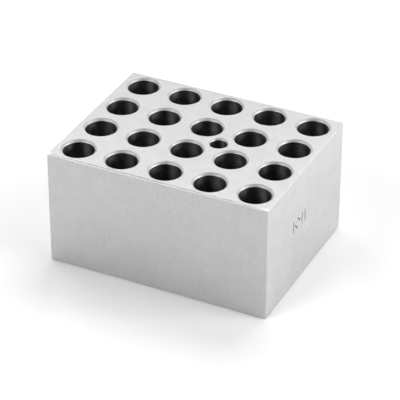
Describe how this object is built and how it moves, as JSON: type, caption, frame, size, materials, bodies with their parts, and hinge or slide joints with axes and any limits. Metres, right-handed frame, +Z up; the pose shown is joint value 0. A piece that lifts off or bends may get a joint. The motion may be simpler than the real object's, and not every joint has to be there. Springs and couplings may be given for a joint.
{
  "type": "dry block heater block",
  "caption": "Solid aluminium heating block with a grid of countersunk blind wells for round tubes and one slimmer thermometer well between them; it drops into a dry block heater.",
  "frame": {"origin": "centre of the block's bottom face", "axes": "+Z up out of the wells, +X along the long side, -Y towards the long front face"},
  "size_m": [0.095, 0.0734, 0.05],
  "materials": {
    "block_aluminium": "bead-blasted matt aluminium outside with machined bevels and countersinks, bored wells inside"
  },
  "bodies": {
    "root": {"block": "block_aluminium"}
  },
  "joints": []
}
